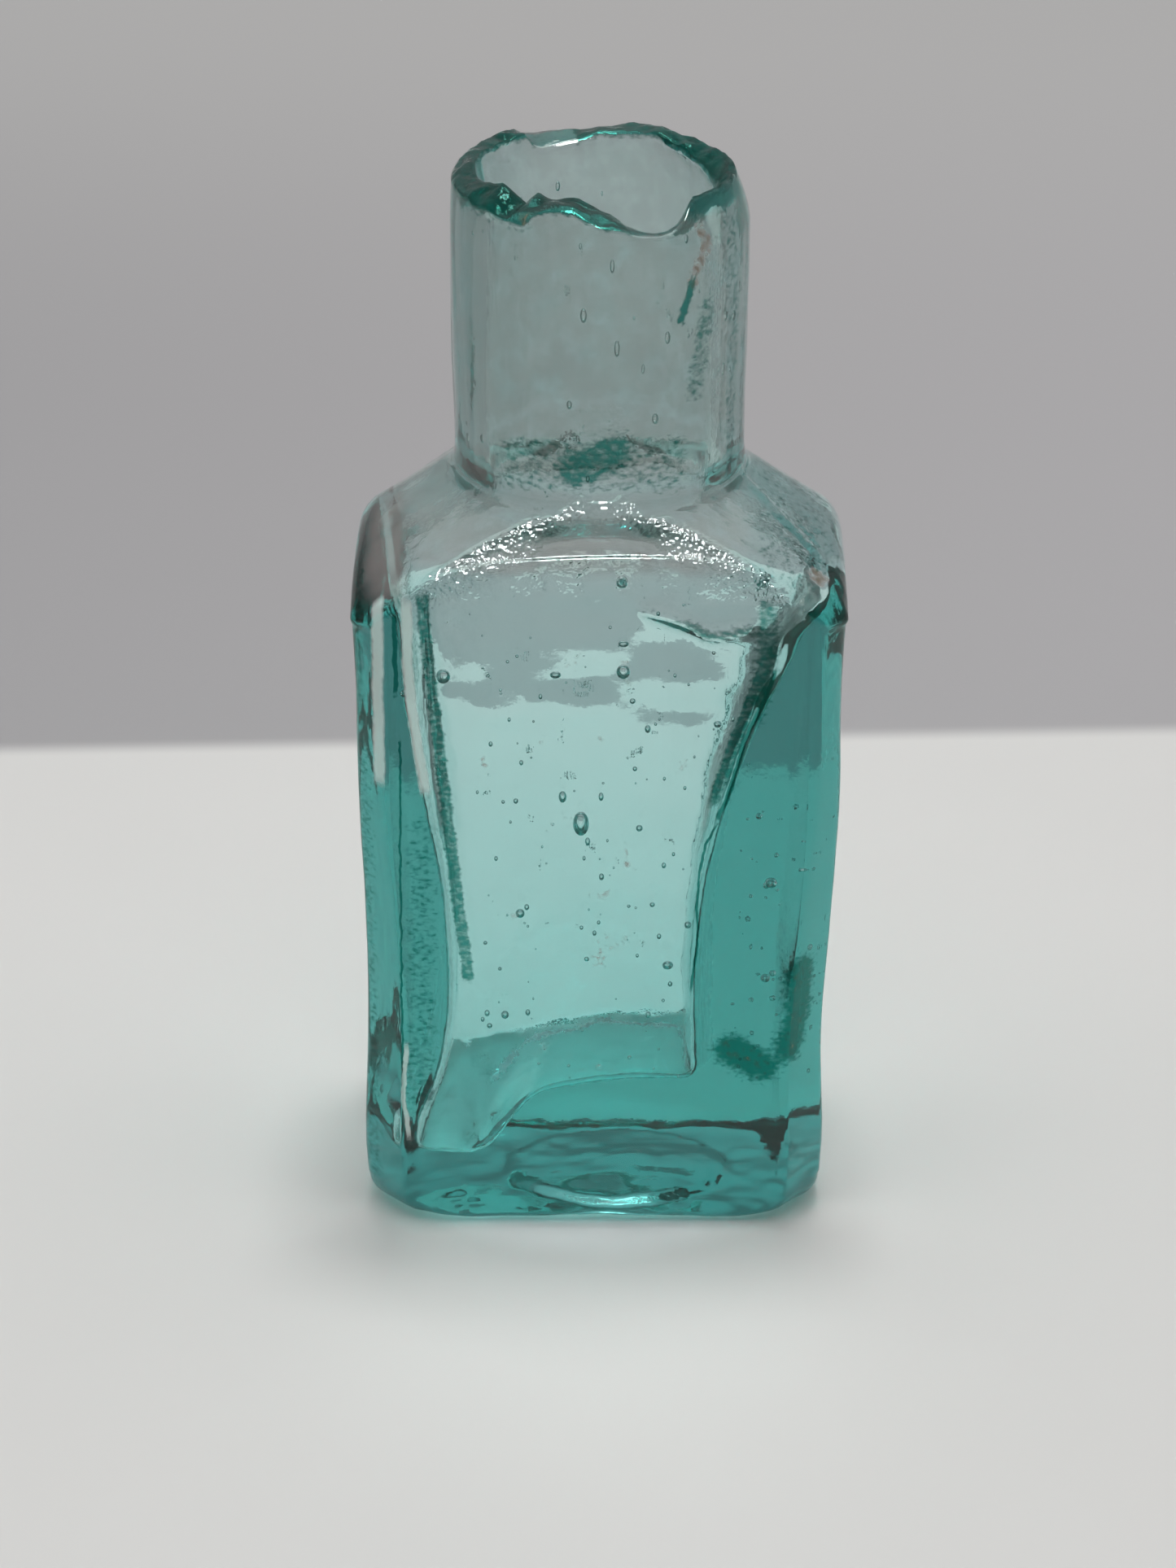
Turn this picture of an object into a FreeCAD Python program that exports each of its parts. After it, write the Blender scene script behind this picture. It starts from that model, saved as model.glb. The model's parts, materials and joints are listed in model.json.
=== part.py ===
import FreeCAD, Part
import math
import os
import Sketcher

# Antique ink bottle: one piece of mould-blown glass, rectangular with cut corners, with hipped shoulders,
# a wide straight neck and a lip that was snapped off and left rough.
# Millimetres. The origin is the centre of the base on its resting plane, +Z is up and the front faces -Y.

NODE = "glass_bottle"

# alias, millimetres, meaning
DIMENSIONS = [
    ("half_depth", 10.0, "front and back faces from the axis"),
    ("heel_height", 1.2, "top of the rounded heel"),
    ("heel_inset", 1.0, "how far the heel draws in under the walls"),
    ("base_left", 14.6, "left side face from the axis, above the heel"),
    ("base_right", 14.3, "right side face from the axis, above the heel"),
    ("base_cut", 2.3, "corner cut above the heel"),
    ("waist_height", 13.0, "level of the slight waist"),
    ("waist_left", 14.4, "left side face from the axis, at the waist"),
    ("waist_right", 14.0, "right side face from the axis, at the waist"),
    ("waist_cut", 2.1, "corner cut at the waist"),
    ("full_height", 30.0, "level where the body is back to its full width"),
    ("full_half_width", 14.5, "side faces from the axis, from there up"),
    ("full_cut", 1.5, "corner cut from there up"),
    ("break_height", 43.4, "level where the walls turn into the shoulders"),
    ("crown_height", 45.6, "level half-way up the rounded shoulders"),
    ("crown_half_width", 12.8, "half width there"),
    ("crown_half_depth", 9.6, "half depth there"),
    ("crown_cut", 6.0, "corner cut there"),
    ("root_height", 48.2, "level where the shoulders end inside the neck"),
    ("root_half", 8.2, "half width and half depth there"),
    ("root_cut", 4.8, "corner cut there"),
    ("neck_radius", 8.7, "outside of the neck"),
    ("lip_height", 66.0, "mean level of the broken lip"),
    ("snapped_off", 3.0, "neck above that level that the break takes away"),
    ("bore_radius", 6.7, "inside of the neck"),
    ("cavity_corner", 3.5, "cavity's corner rounding, seen from above"),
    ("floor_height", 6.6, "lowest level of the cavity"),
    ("floor_inset", 2.0, "how far the cavity draws in to its floor"),
    ("low_height", 13.0, "level where the cavity is narrowest"),
    ("low_left", 9.5, "cavity's left wall from the axis, at that level"),
    ("low_right", 6.6, "cavity's right wall from the axis, at that level"),
    ("low_half_depth", 6.8, "cavity's front and back walls from the axis, at that level"),
    ("middle_height", 27.0, "level between the narrow and the wide cavity"),
    ("middle_left", 10.6, "cavity's left wall from the axis, at that level"),
    ("middle_right", 8.4, "cavity's right wall from the axis, at that level"),
    ("middle_half_depth", 7.6, "cavity's front and back walls from the axis, at that level"),
    ("wide_height", 39.0, "level where the cavity is widest"),
    ("wide_left", 12.3, "cavity's left wall from the axis, at that level"),
    ("wide_right", 11.8, "cavity's right wall from the axis, at that level"),
    ("wide_half_depth", 8.4, "cavity's front and back walls from the axis, at that level"),
    ("roof_height", 45.4, "level where the cavity meets the neck's bore"),
    ("roof_half", 6.6, "cavity's half width and half depth there"),
    ("roof_corner", 6.2, "corner rounding there"),
    ("push_up_shift", 1.2, "middle of the hollow under the base, to the right of the axis"),
    ("push_up_radius", 7.3, "radius of the hollow"),
    ("push_up_height", 0.8, "its height at the middle"),
]

# The broken lip seen from the front: share of the neck's radius, then millimetres above lip_height.
FRONT_LIP = [(-1.1, 0.2), (-0.4, 0.5), (0.0, -0.6), (0.5, -2.0), (0.68, -0.3), (1.1, 0.0)]
BACK_LIP = [(-1.1, 0.2), (-0.6, 0.3), (-0.4, -0.1), (0.1, 0.2), (1.1, 0.0)]

START, END, CENTRE = 1, 2, 3
ORIGIN = (-1, START)
Y_AXIS = -2


def make_sheet(doc):
    """Spreadsheet with one aliased cell per driving dimension."""
    sheet = doc.addObject("Spreadsheet::Sheet", "Size")
    for row, (alias, size, meaning) in enumerate(DIMENSIONS, start=1):
        sheet.set(f"A{row}", alias)
        sheet.set(f"B{row}", str(size))
        sheet.set(f"C{row}", meaning)
        sheet.setAlias(f"B{row}", alias)
    doc.recompute()


def new_sketch(body, name, role, height=None):
    """Sketch on one of the body's origin planes, raised to a height given as an expression."""
    plane = next(item for item in body.Origin.OriginFeatures if item.Role == role)
    sketch = body.newObject("Sketcher::SketchObject", name)
    sketch.AttachmentSupport = [(plane, "")]
    sketch.MapMode = "FlatFace"
    if height:
        sketch.setExpression("AttachmentOffset.Base.z", height)
    return sketch


def drive(sketch, kind, expression, *ends):
    """Dimensional constraint whose size follows an expression in the sheet's cells."""
    size = sketch.evalExpression(expression)
    index = sketch.addConstraint(Sketcher.Constraint(kind, *ends, size))
    sketch.setExpression(f"Constraints[{index}]", expression)


def draw_loop(sketch, points):
    """Closed polygon through the points, in order."""
    corners = [FreeCAD.Vector(x, y, 0) for x, y in points]
    for corner, following in zip(corners, corners[1:] + corners[:1]):
        sketch.addGeometry(Part.LineSegment(corner, following))
    for index in range(len(corners)):
        sketch.addConstraint(Sketcher.Constraint("Coincident", index, END, (index + 1) % len(corners), START))


def drive_sides(sketch, sides, left, right, deep):
    """Sets a section's four straight sides level or upright, and their distances from the axis."""
    front, east, back, west = sides
    for side in (front, back):
        sketch.addConstraint(Sketcher.Constraint("Horizontal", side))
    for side in (east, west):
        sketch.addConstraint(Sketcher.Constraint("Vertical", side))
    drive(sketch, "DistanceX", right, *ORIGIN, east, START)
    drive(sketch, "DistanceX", left, west, START, *ORIGIN)
    drive(sketch, "DistanceY", deep, *ORIGIN, back, START)
    drive(sketch, "DistanceY", deep, front, START, *ORIGIN)


def cut_section(body, name, height, left, right, deep, cut):
    """Level section with its four corners cut at 45 degrees. Every size is an expression."""
    sketch = new_sketch(body, name, "XY_Plane", height)
    west, east, back, leg = (sketch.evalExpression(text) for text in (f"-({left})", right, deep, cut))
    draw_loop(sketch, [
        (west + leg, -back),
        (east - leg, -back),
        (east, leg - back),
        (east, back - leg),
        (east - leg, back),
        (west + leg, back),
        (west, back - leg),
        (west, leg - back),
    ])
    drive_sides(sketch, (0, 2, 4, 6), left, right, deep)
    right_front, right_back, left_back, left_front = 1, 3, 5, 7
    for corner in (right_front, left_front):
        drive(sketch, "DistanceX", cut, corner, START, corner, END)
    for corner in (right_back, left_back):
        drive(sketch, "DistanceX", cut, corner, END, corner, START)
    for corner in (right_front, right_back):
        drive(sketch, "DistanceY", cut, corner, START, corner, END)
    for corner in (left_front, left_back):
        drive(sketch, "DistanceY", cut, corner, END, corner, START)
    return sketch


def round_section(body, name, height, left, right, deep, corner):
    """Level section with round corners. Every size is an expression."""
    sketch = new_sketch(body, name, "XY_Plane", height)
    west, east, back, radius = (sketch.evalExpression(text) for text in (f"-({left})", right, deep, corner))
    centres = [
        (east - radius, radius - back),
        (east - radius, back - radius),
        (west + radius, back - radius),
        (west + radius, radius - back),
    ]
    quarter = math.pi / 2
    for turn, (x, y) in enumerate(centres):
        circle = Part.Circle(FreeCAD.Vector(x, y, 0), FreeCAD.Vector(0, 0, 1), radius)
        sketch.addGeometry(Part.ArcOfCircle(circle, (turn - 1) * quarter, turn * quarter))
    for arc in range(len(centres)):
        following = (arc + 1) % len(centres)
        line = Part.LineSegment(sketch.getPoint(arc, END), sketch.getPoint(following, START))
        side = sketch.addGeometry(line)
        sketch.addConstraint(Sketcher.Constraint("Tangent", arc, END, side, START))
        sketch.addConstraint(Sketcher.Constraint("Tangent", side, END, following, START))
        if arc:
            sketch.addConstraint(Sketcher.Constraint("Equal", 0, arc))
    east_side, back_side, west_side, front_side = 4, 5, 6, 7
    drive_sides(sketch, (front_side, east_side, back_side, west_side), left, right, deep)
    drive(sketch, "Radius", corner, 0)
    return sketch


def circle_sketch(body, name, height, radius):
    """Circle about the axis."""
    sketch = new_sketch(body, name, "XY_Plane", height)
    circle = Part.Circle(FreeCAD.Vector(), FreeCAD.Vector(0, 0, 1), sketch.evalExpression(radius))
    sketch.addGeometry(circle)
    sketch.addConstraint(Sketcher.Constraint("Coincident", 0, CENTRE, *ORIGIN))
    drive(sketch, "Radius", radius, 0)
    return sketch


def add_loft(body, kind, name, sections):
    """Smooth loft through level sections, lowest first."""
    loft = body.newObject(f"PartDesign::{kind}", name)
    loft.Profile = sections[0]
    loft.Sections = sections[1:]
    body.Document.recompute()


def add_walls(body):
    """Outside of the body from its rounded heel up to the shoulders, with a slight waist."""
    heel = []
    for name, share_of_height, share_of_inset in (("Foot", 0, 1), ("Heel", 0.3, 0.3), ("Base", 1, 0)):
        inset = f"Size.heel_inset * {share_of_inset}"
        heel.append(cut_section(
            body, f"{name}Section", f"Size.heel_height * {share_of_height}", f"Size.base_left - {inset}",
            f"Size.base_right - {inset}", f"Size.half_depth - {inset}", "Size.base_cut",
        ))
    base = heel[-1]
    waist = cut_section(body, "WaistSection", "Size.waist_height", "Size.waist_left", "Size.waist_right",
                        "Size.half_depth", "Size.waist_cut")
    full_sizes = ("Size.full_half_width", "Size.full_half_width", "Size.half_depth", "Size.full_cut")
    full = cut_section(body, "FullSection", "Size.full_height", *full_sizes)
    shoulder_break = cut_section(body, "BreakSection", "Size.break_height", *full_sizes)
    add_loft(body, "AdditiveLoft", "RoundedHeel", heel)
    add_loft(body, "AdditiveLoft", "Walls", [base, waist, full, shoulder_break])
    return shoulder_break


def add_shoulders(body, shoulder_break):
    """Rounded hips that run from the walls in to the neck."""
    crown = cut_section(body, "CrownSection", "Size.crown_height", "Size.crown_half_width",
                        "Size.crown_half_width", "Size.crown_half_depth", "Size.crown_cut")
    root = cut_section(body, "RootSection", "Size.root_height", "Size.root_half", "Size.root_half",
                       "Size.root_half", "Size.root_cut")
    add_loft(body, "AdditiveLoft", "Shoulders", [shoulder_break, crown, root])


def add_neck(body):
    """Straight neck, left too long until its lip is broken off."""
    neck = body.newObject("PartDesign::Pad", "Neck")
    neck.Profile = circle_sketch(body, "NeckCircle", "Size.crown_height", "Size.neck_radius")
    neck.setExpression("Length", "Size.lip_height + Size.snapped_off - Size.crown_height")
    body.Document.recompute()


def cut_cavity(body):
    """Inside of the body: the glass is thick on the right and under the floor."""
    drawn_in = ("Size.low_left - Size.floor_inset", "Size.low_right - Size.floor_inset",
                "Size.low_half_depth - Size.floor_inset")
    sections = [round_section(body, "FloorSection", "Size.floor_height", *drawn_in,
                              "Size.cavity_corner")]
    for level in ("low", "middle", "wide"):
        sections.append(round_section(
            body, f"{level.capitalize()}Section", f"Size.{level}_height", f"Size.{level}_left",
            f"Size.{level}_right", f"Size.{level}_half_depth", "Size.cavity_corner",
        ))
    sections.append(round_section(body, "RoofSection", "Size.roof_height", "Size.roof_half",
                                  "Size.roof_half", "Size.roof_half", "Size.roof_corner"))
    add_loft(body, "SubtractiveLoft", "Cavity", sections)


def cut_bore(body):
    """Round bore through the neck, down to the cavity."""
    bore = body.newObject("PartDesign::Pocket", "Bore")
    bore.Profile = circle_sketch(body, "BoreCircle", "Size.roof_height", "Size.bore_radius")
    bore.Type = "ThroughAll"
    bore.Reversed = True
    body.Document.recompute()


def cut_push_up(body):
    """Shallow domed hollow under the base."""
    sketch = new_sketch(body, "PushUpProfile", "XZ_Plane")
    sketch.setExpression("AttachmentOffset.Base.x", "Size.push_up_shift")
    radius = sketch.evalExpression("Size.push_up_radius")
    rise = sketch.evalExpression("Size.push_up_height")
    rim, middle, top = FreeCAD.Vector(radius, 0, 0), FreeCAD.Vector(), FreeCAD.Vector(0, rise, 0)
    axis_line = sketch.addGeometry(Part.LineSegment(middle, top))
    base_line = sketch.addGeometry(Part.LineSegment(rim, middle))
    dome_radius = (radius ** 2 + rise ** 2) / (2 * rise)
    circle = Part.Circle(FreeCAD.Vector(0, rise - dome_radius, 0), FreeCAD.Vector(0, 0, 1), dome_radius)
    rim_angle = math.atan2(dome_radius - rise, radius)
    dome = sketch.addGeometry(Part.ArcOfCircle(circle, rim_angle, math.pi / 2))
    sketch.addConstraint(Sketcher.Constraint("Coincident", axis_line, START, *ORIGIN))
    sketch.addConstraint(Sketcher.Constraint("Coincident", base_line, END, *ORIGIN))
    sketch.addConstraint(Sketcher.Constraint("Coincident", dome, START, base_line, START))
    sketch.addConstraint(Sketcher.Constraint("Coincident", dome, END, axis_line, END))
    sketch.addConstraint(Sketcher.Constraint("Vertical", axis_line))
    sketch.addConstraint(Sketcher.Constraint("Horizontal", base_line))
    sketch.addConstraint(Sketcher.Constraint("PointOnObject", dome, CENTRE, Y_AXIS))
    drive(sketch, "DistanceX", "Size.push_up_radius", *ORIGIN, base_line, START)
    drive(sketch, "DistanceY", "Size.push_up_height", *ORIGIN, axis_line, END)
    push_up = body.newObject("PartDesign::Groove", "PushUp")
    push_up.Profile = sketch
    push_up.ReferenceAxis = (sketch, ["V_Axis"])
    push_up.Angle = 360
    body.Document.recompute()


def break_lip(body, name, outline, forwards):
    """Cuts the front or the back half of the neck down to its broken edge."""
    sketch = new_sketch(body, f"{name}Outline", "XZ_Plane")
    across = [f"{share} * Size.neck_radius" for share, _ in outline]
    levels = [f"Size.lip_height + {rise}" for _, rise in outline]
    top = "Size.lip_height + Size.snapped_off"
    across += [across[-1], across[0]]
    levels += [top, top]
    draw_loop(sketch, [(sketch.evalExpression(x), sketch.evalExpression(z)) for x, z in zip(across, levels)])
    for corner, (x, z) in enumerate(zip(across, levels)):
        drive(sketch, "DistanceX", x, *ORIGIN, corner, START)
        drive(sketch, "DistanceY", z, *ORIGIN, corner, START)
    pocket = body.newObject("PartDesign::Pocket", name)
    pocket.Profile = sketch
    pocket.Type = "ThroughAll"
    pocket.Reversed = forwards
    body.Document.recompute()


def make_bottle(doc):
    """The whole bottle, as one body."""
    body = doc.addObject("PartDesign::Body", "GlassBottle")
    body.Label = NODE
    shoulder_break = add_walls(body)
    add_shoulders(body, shoulder_break)
    add_neck(body)
    cut_cavity(body)
    cut_bore(body)
    cut_push_up(body)
    break_lip(body, "FrontLip", FRONT_LIP, True)
    break_lip(body, "BackLip", BACK_LIP, False)
    body.Placement = FreeCAD.Placement()
    doc.recompute()
    return body


def check(doc, body):
    """Stops if an object failed, a feature changed nothing or the bottle isn't one valid solid."""
    for item in doc.Objects:
        if "Invalid" in item.State or "Error" in item.State:
            raise RuntimeError(f"{item.Name} failed: {item.getStatusString()}")
    before = 0.0
    for feature in body.Group:
        if feature.isDerivedFrom("PartDesign::Feature"):
            volume = feature.Shape.Volume
            print(f"{feature.Name}: {volume - before:+.1f} mm3")
            if abs(volume - before) < 1.0:
                raise RuntimeError(f"{feature.Name} changes nothing")
            before = volume
    if body.Shape.isNull() or not body.Shape.isValid() or len(body.Shape.Solids) != 1:
        raise RuntimeError("the bottle isn't one valid solid")


def main():
    doc = FreeCAD.newDocument("AntiqueBottle")
    make_sheet(doc)
    body = make_bottle(doc)
    check(doc, body)
    os.makedirs("parts", exist_ok=True)
    body.Shape.exportStep(f"parts/{body.Label}.step")


main()
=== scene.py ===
import functools
import json
import math

import bpy
import numpy as np
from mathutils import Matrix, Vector


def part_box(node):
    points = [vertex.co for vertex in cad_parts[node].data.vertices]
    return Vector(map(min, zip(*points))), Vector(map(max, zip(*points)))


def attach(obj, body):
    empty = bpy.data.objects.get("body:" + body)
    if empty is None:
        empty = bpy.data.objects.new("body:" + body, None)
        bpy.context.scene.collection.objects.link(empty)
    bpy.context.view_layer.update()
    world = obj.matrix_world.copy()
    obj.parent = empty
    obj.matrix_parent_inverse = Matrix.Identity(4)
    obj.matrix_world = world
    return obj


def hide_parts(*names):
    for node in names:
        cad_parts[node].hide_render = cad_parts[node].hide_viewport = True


# Looks of the antique ink bottle: one piece of aqua glass, shaped here in millimetres and stored in metres.
# Directions run from +X through +Y, so the front face (-Y) is at -90 degrees.

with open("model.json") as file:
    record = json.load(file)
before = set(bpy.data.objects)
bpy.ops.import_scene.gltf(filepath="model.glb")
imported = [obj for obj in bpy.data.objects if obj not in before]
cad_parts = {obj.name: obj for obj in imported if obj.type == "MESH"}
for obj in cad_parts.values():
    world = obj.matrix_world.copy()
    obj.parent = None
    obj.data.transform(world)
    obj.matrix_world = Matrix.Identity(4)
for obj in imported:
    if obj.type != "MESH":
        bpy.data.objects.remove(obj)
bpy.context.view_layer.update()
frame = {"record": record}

MM = 0.001
NODE = "glass_bottle"
high = Vector(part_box(NODE)[1]) / MM
mounts = {mount["name"]: mount for mount in frame["record"]["mounts"]}

TAU = 2 * math.pi
QUARTER = math.pi / 2

# the frame's sizes, and the levels and radii that follow from them
HEIGHT = round(high.z, 3)
DEPTH = float(round(high.y))                    # half of the body, front to back, to the whole millimetre
BORE = mounts["neck_bore"]["dims"]["r_mm"]
NECK_WALL = 2.0
NECK = BORE + NECK_WALL
LIP = HEIGHT - 0.5                              # level that the broken lip varies about
SHOULDER = HEIGHT - 18.5                        # where the shoulders meet the neck
ROOF = HEIGHT - 19.9                            # where the bore opens into the cavity
BREAK = HEIGHT - 21.8                           # where the front face meets the shoulders, at its middle
WALL_TOP = HEIGHT - 23.5                        # the walls end with the outline that they have here
CAVITY_TOP = HEIGHT - 23.0                      # the roof of the cavity ends on its outline here
HEEL = 1.1                                      # rounding under the walls
CORNER_HEEL = 1.1                               # more of it under the cut corners
MOUTH_ROUND = 0.7                               # rounding where the bore opens

AROUND = 248                                    # points in each ring of the mesh
BASE_RINGS = 30                                 # rings of the underside
LIP_RINGS = 9                                   # rings across the broken lip


# ---------------------------------------------------------------- small tools

def curve(x, knots):
    """Smooth curve through (x, value) knots, flat beyond the ends."""
    xs, ys = np.array(knots, float).T
    slopes = np.gradient(ys, xs)
    x = np.clip(x, xs[0], xs[-1])
    i = np.clip(np.searchsorted(xs, x) - 1, 0, len(xs) - 2)
    step = xs[i + 1] - xs[i]
    t = (x - xs[i]) / step
    start = (1 + 2 * t) * (1 - t) ** 2 * ys[i] + t * (1 - t) ** 2 * step * slopes[i]
    end = t * t * (3 - 2 * t) * ys[i + 1] + t * t * (t - 1) * step * slopes[i + 1]
    return start + end


def blend(start, end, x):
    """0 before start, 1 after end, smooth between."""
    t = np.clip((x - start) / (end - start), 0, 1)
    return t * t * (3 - 2 * t)


def band(start, end, soft, x):
    """1 between start and end, falling to 0 over a soft margin outside."""
    return blend(start - soft, start, x) * (1 - blend(end, end + soft, x))


def lumps(points, size, seed):
    """Smooth random field between -1 and 1, with lumps of a size in millimetres, one for all axes or each."""
    table = np.random.default_rng(seed).uniform(-1, 1, (32, 32, 32))
    place = points / np.asarray(size, float) + 1000
    cell = np.floor(place).astype(int)
    t = place - cell
    t = t * t * (3 - 2 * t)
    total = 0
    for corner in np.ndindex(2, 2, 2):
        weight = np.prod(np.where(corner, t, 1 - t), axis=-1)
        at = (cell + corner) % 32
        total = total + weight * table[at[..., 0], at[..., 1], at[..., 2]]
    return total


def smooth_least(a, b, width):
    """The smaller of two values, with the corner between them rounded."""
    t = np.clip(0.5 + (b - a) / (2 * width), 0, 1)
    return b + (a - b) * t - width * t * (1 - t)


def xyz(x, y, z):
    """Broadcast coordinates stacked as points."""
    return np.stack(np.broadcast_arrays(x, y, z), axis=-1)


def split(points):
    """The x, the y and the z of points."""
    return points[..., 0], points[..., 1], points[..., 2]


def strongest(*masks):
    """The largest of several masks at each point."""
    return functools.reduce(np.maximum, masks)


def near_path(points, path, reach):
    """1 on a path of points, falling to 0 at a reach from it."""
    least = np.full(points.shape[:-1], np.inf)
    for start, end in zip(path[:-1], path[1:]):
        start, end = np.array(start, float), np.array(end, float)
        along = end - start
        t = np.clip((points - start) @ along / (along @ along), 0, 1)
        gap = np.linalg.norm(points - start - t[..., None] * along, axis=-1)
        least = np.minimum(least, gap)
    return 1 - blend(0.3 * reach, reach, least)


# ---------------------------------------------------------------- plan outlines

def outline(theta, planes, sharpness):
    """Distance in each direction to a ring of flat sides, (direction, distance), with rounded corners."""
    scale = 10.0                                # a usual distance, which keeps the powers in range
    total = 0
    for angle, distance in planes:
        facing = np.maximum(np.cos(theta - angle), 1e-9)
        total = total + np.exp(sharpness * (np.log(facing / distance) + math.log(scale)))
    return scale * total ** (-1 / sharpness)


def left_wall(z):
    """Distance of the left wall's outside from the axis."""
    return curve(z, [(0, 14.7), (5, 14.75), (13, 14.45), (20, 14.3), (30, 14.5), (40, 14.5), (44, 14.7)])


def right_wall(z):
    """The same for the right wall."""
    return curve(z, [(0, 14.1), (5, 14.2), (13, 13.9), (20, 14.2), (30, 14.45), (40, 14.5), (44, 14.75)])


def corner_cut(z):
    """How much of each side the cut corners take."""
    return curve(z, [(0, 2.5), (13, 2.3), (30, 1.7), (44, 1.3)])


def body_outline(theta, z):
    """Outside of the walls at height z: four sides and four cut corners."""
    sides = [right_wall(z), DEPTH, left_wall(z), DEPTH]
    leans = np.radians([7, -7, 0, 0])           # the back corners' cuts turn a little towards the back
    half_cut = corner_cut(z) / 2
    planes = []
    for k, distance in enumerate(sides):
        beside = sides[(k + 1) % 4]
        planes.append((k * QUARTER, distance))
        turn = QUARTER / 2 + leans[k]
        reach = (distance - half_cut) * math.cos(turn) + (beside - half_cut) * math.sin(turn)
        planes.append((k * QUARTER + turn, reach))
    return outline(theta, planes, curve(z, [(0, 70.0), (4, 150.0), (12, 190.0), (44, 190.0)]))


def spread_angles():
    """Directions spaced evenly along the body's outline, with more of them at its corners."""
    corner_weight = 2.4                         # millimetres of length that a turn of one radian counts for
    mid_height = 20.0
    fine = np.linspace(0, TAU, 7201)
    radius = body_outline(fine, np.full_like(fine, mid_height))
    x, y = radius * np.cos(fine), radius * np.sin(fine)
    length = np.hypot(np.diff(x), np.diff(y))
    heading = np.unwrap(np.arctan2(np.diff(y), np.diff(x)))
    turn = np.abs(np.append(np.diff(heading), 0))
    weight = np.append(0, np.cumsum(length + corner_weight * turn))
    return np.interp(np.arange(AROUND) / AROUND * weight[-1], weight, fine)


# ---------------------------------------------------------------- the broken lip

# direction in degrees, then how far the break's edge stands off LIP
OUTER_BREAK = [
    (-180, -0.8), (-160, -0.7), (-143, -1.0), (-133, -1.1), (-123, -1.3), (-120, -1.4), (-117, -0.9),
    (-115, -0.5), (-111, -0.4), (-101, -0.5), (-95, -0.9), (-91, -1.2), (-81, -1.5), (-75, -1.8), (-67, -1.9),
    (-61, -1.75), (-55, -1.2), (-51, -0.5), (-48, -0.2), (-30, -0.2), (0, -0.2), (30, -0.2), (42, 0.0),
    (60, 0.05), (80, 0.1), (88, -0.2), (95, -0.3), (109, -0.3), (117, -0.35), (123, -0.2), (126, 0.0),
    (134, 0.0), (140, -0.2), (150, -0.15), (158, -0.45), (168, -0.6), (180, -0.8),
]
INNER_BREAK = [
    (-180, 0.0), (-162, -0.4), (-141, 0.1), (-132, -0.45), (-128, -0.7), (-121, 0.0), (-114, -0.25),
    (-101, -0.1), (-96, -0.4), (-90, -0.8), (-85, -1.05), (-78, -1.7), (-69, -2.2), (-58, -2.5), (-50, -2.5),
    (-41, -1.95), (-33, -1.2), (-10, -1.5), (13, -1.3), (40, -0.5), (60, 0.0), (90, -0.1), (104, -0.5),
    (120, -0.9), (126, -0.5), (129, 0.0), (150, 0.0), (180, 0.0),
]


def in_degrees(theta):
    return (np.degrees(theta) + 180) % 360 - 180


def smooth_break(degrees):
    """1 where the break ran clean: the notch at the front right and the thin edge at the back left."""
    return np.maximum(band(-74, -52, 6, degrees), band(103, 123, 3, degrees))


def break_heights(theta):
    """Height of the break's outer and inner edges in each direction."""
    degrees = in_degrees(theta)
    places = xyz(7 * np.cos(theta), 7 * np.sin(theta), 0)
    jag = 0.13 * lumps(places, 0.9, 11) + 0.06 * lumps(places, 0.4, 12)
    jag = jag * (1 - 0.85 * smooth_break(degrees))
    outer = LIP + np.interp(degrees, *np.array(OUTER_BREAK, float).T) + jag
    inner = LIP + np.interp(degrees, *np.array(INNER_BREAK, float).T) + 0.7 * jag
    return outer, inner


# ---------------------------------------------------------------- outer surface

def shoulder_cone(x, y):
    """Height of the shoulders' sloping top, which sags a little at the corners."""
    out = np.hypot(x, y) - NECK
    return SHOULDER - 0.70 * out + 0.010 * out ** 2 - 0.00006 * (x * y) ** 2


def break_line(x):
    """Height of the bowed edge between a broad face and its facet."""
    return BREAK - 0.0106 * (x - 0.9) ** 2


def shoulder_facet(x, y):
    """Steep facet over the front or the back face, with a narrow ledge along its foot."""
    ledge_start, ledge_width, ledge_slope = 0.24, 0.2, 0.5
    inward = DEPTH - np.abs(y)
    slope = 3.0 + 0.02 * x ** 2
    step = (slope - ledge_slope) * np.clip(inward - ledge_start, 0, ledge_width)
    return break_line(x) + slope * inward - step


def shoulder_height(x, y):
    """Top of the shoulders before their edges are rounded: a cone, cut by a facet front and back."""
    back_drop = 0.9 * blend(1, 9, y)
    hip_round = 0.3 + 0.8 * band(4.0, 10.0, 1.0, np.abs(x))
    return smooth_least(shoulder_cone(x, y), shoulder_facet(x, y), hip_round) - back_drop


def seam(x, y):
    """Raised mould seams over two opposite shoulder corners, 1 at their crests."""
    width = 0.2
    at_neck, at_corner = np.array([8.0, -2.4]), np.array([14.4, -7.0])
    total = 0
    for side in (1, -1):
        start, end = at_neck * side, at_corner * side
        along = end - start
        length = np.linalg.norm(along)
        reach = ((x - start[0]) * along[0] + (y - start[1]) * along[1]) / length
        aside = ((x - start[0]) * along[1] - (y - start[1]) * along[0]) / length
        total = total + np.exp(-(aside / width) ** 2) * blend(-0.5, 0.5, reach)
    return total


def shoulder_ring(radius, cos, sin, drop):
    """One ring over the shoulders, a drop below their unrounded height."""
    seam_height = 0.12
    x, y = radius * cos, radius * sin
    return xyz(x, y, shoulder_height(x, y) - drop + seam_height * seam(x, y))


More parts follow.
